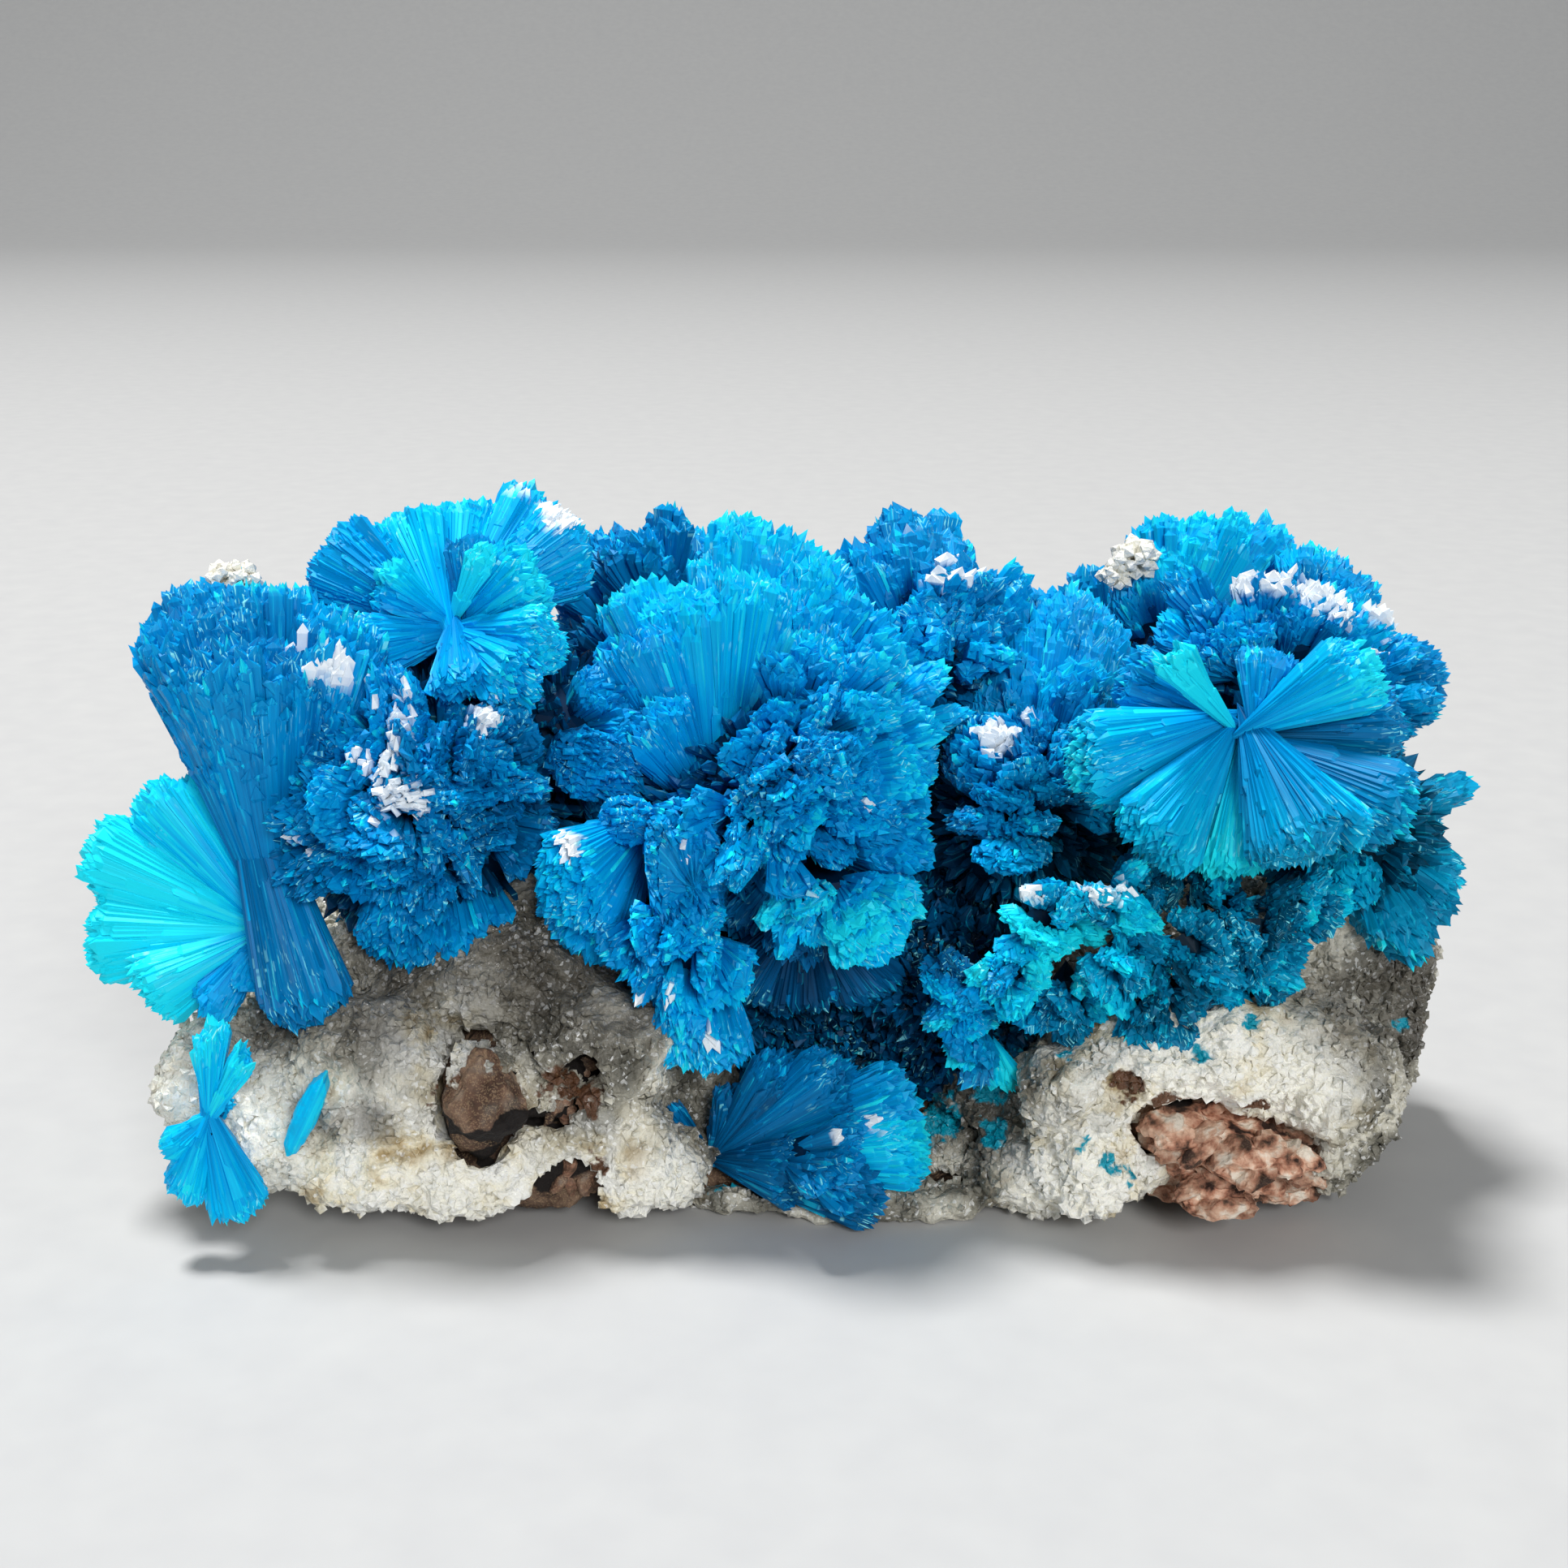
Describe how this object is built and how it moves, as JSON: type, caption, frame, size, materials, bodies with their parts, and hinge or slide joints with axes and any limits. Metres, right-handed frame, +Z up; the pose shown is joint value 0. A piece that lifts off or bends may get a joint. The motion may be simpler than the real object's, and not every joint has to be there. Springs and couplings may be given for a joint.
{
  "type": "cavansite specimen",
  "caption": "Natural mineral specimen: sprays of bladed blue cavansite crystals crowded over a pale zeolite crust on brown basalt, cut flat underneath to stand on a shelf.",
  "frame": {"origin": "on the floor under the middle of the specimen's box", "axes": "+X along the specimen's length, to the viewer's right; -Y towards the viewer of the show side; +Z up"},
  "size_m": [0.0738, 0.0366, 0.0377],
  "materials": {
    "basalt": "broken, matt and crumbly, brown with reddish patches",
    "zeolite": "drusy crust of small cream and grey crystals with a sugary glitter",
    "cavansite": "vitreous blades, azure blue with cyan tips and white glints"
  },
  "bodies": {
    "root": {"basalt_base": "basalt", "zeolite_crust": "zeolite", "cavansite_cluster": "cavansite", "cavansite_hollow_spray": "cavansite", "cavansite_left_sheaf": "cavansite", "cavansite_lens_crystal": "cavansite"}
  },
  "joints": []
}
